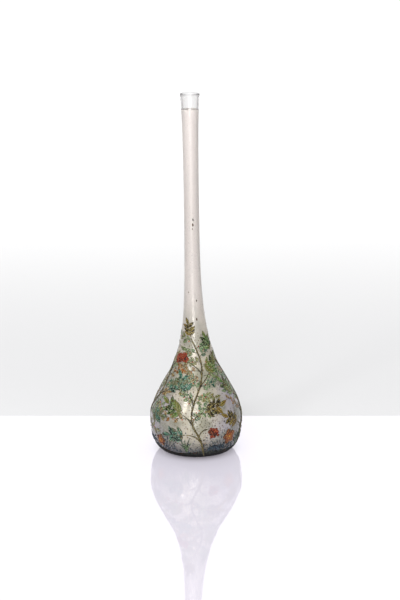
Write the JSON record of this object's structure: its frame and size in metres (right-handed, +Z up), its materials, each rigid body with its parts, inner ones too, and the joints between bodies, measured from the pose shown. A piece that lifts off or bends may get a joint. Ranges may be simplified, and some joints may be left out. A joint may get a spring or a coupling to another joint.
{
  "type": "bud vase",
  "caption": "Tall slender bud vase of blown glass: pear-shaped bulb, long narrow frosted neck, clear rim, and low-relief enamel sprigs, berries and blossoms.",
  "frame": {"origin": "centre of the foot on the surface that the vase stands on", "axes": "+Z up the bulb's axis of revolution, -Y towards the front sprig, +X to the right; the neck leans a little towards -X"},
  "size_m": [0.0915, 0.0928, 0.35],
  "materials": {
    "clear_glass": "polished, clear",
    "frosted_glass": "acid frosted, milky, faint warm grey",
    "enamel_ground": "matt fired enamel, mottled grey green with a near-black lower edge",
    "enamel_moss": "matt fired enamel, blue-black",
    "enamel_grass": "satin fired enamel, dark olive",
    "enamel_stem": "satin fired enamel, brown and olive",
    "enamel_teal": "satin fired enamel, teal with brown veins",
    "enamel_green": "satin fired enamel, grey green with brown veins",
    "enamel_olive": "satin fired enamel, olive and ochre with brown veins",
    "enamel_berry": "glossy fired enamel, vermilion",
    "enamel_amber": "glossy fired enamel, orange ochre"
  },
  "bodies": {
    "root": {"clear_gather": "clear_glass", "frosted_casing": "frosted_glass", "ground_band": "enamel_ground", "front_stem": "enamel_stem", "right_stem": "enamel_stem", "back_stem": "enamel_stem", "left_stem": "enamel_stem", "front_blossom": "enamel_amber", "right_blossom": "enamel_amber", "back_blossom": "enamel_amber", "left_blossom": "enamel_amber", "front_moss": "enamel_moss", "front_grass": "enamel_grass", "right_moss": "enamel_moss", "right_grass": "enamel_grass", "back_moss": "enamel_moss", "back_grass": "enamel_grass", "left_moss": "enamel_moss", "left_grass": "enamel_grass", "front_berries_1": "enamel_berry", "front_berries_2": "enamel_berry", "front_leaf_1": "enamel_teal", "front_leaf_2": "enamel_green", "front_leaf_3": "enamel_teal", "front_leaf_4": "enamel_olive", "front_leaf_5": "enamel_green", "front_leaf_6": "enamel_olive", "right_berries_1": "enamel_berry", "right_leaf_1": "enamel_olive", "right_leaf_2": "enamel_green", "right_leaf_3": "enamel_teal", "right_leaf_4": "enamel_teal", "right_leaf_5": "enamel_green", "back_berries_1": "enamel_berry", "back_berries_2": "enamel_berry", "back_leaf_1": "enamel_teal", "back_leaf_2": "enamel_green", "back_leaf_3": "enamel_teal", "back_leaf_4": "enamel_olive", "back_leaf_5": "enamel_green", "back_leaf_6": "enamel_olive", "left_berries_1": "enamel_berry", "left_leaf_1": "enamel_olive", "left_leaf_2": "enamel_green", "left_leaf_3": "enamel_teal", "left_leaf_4": "enamel_teal", "left_leaf_5": "enamel_green"}
  },
  "joints": []
}
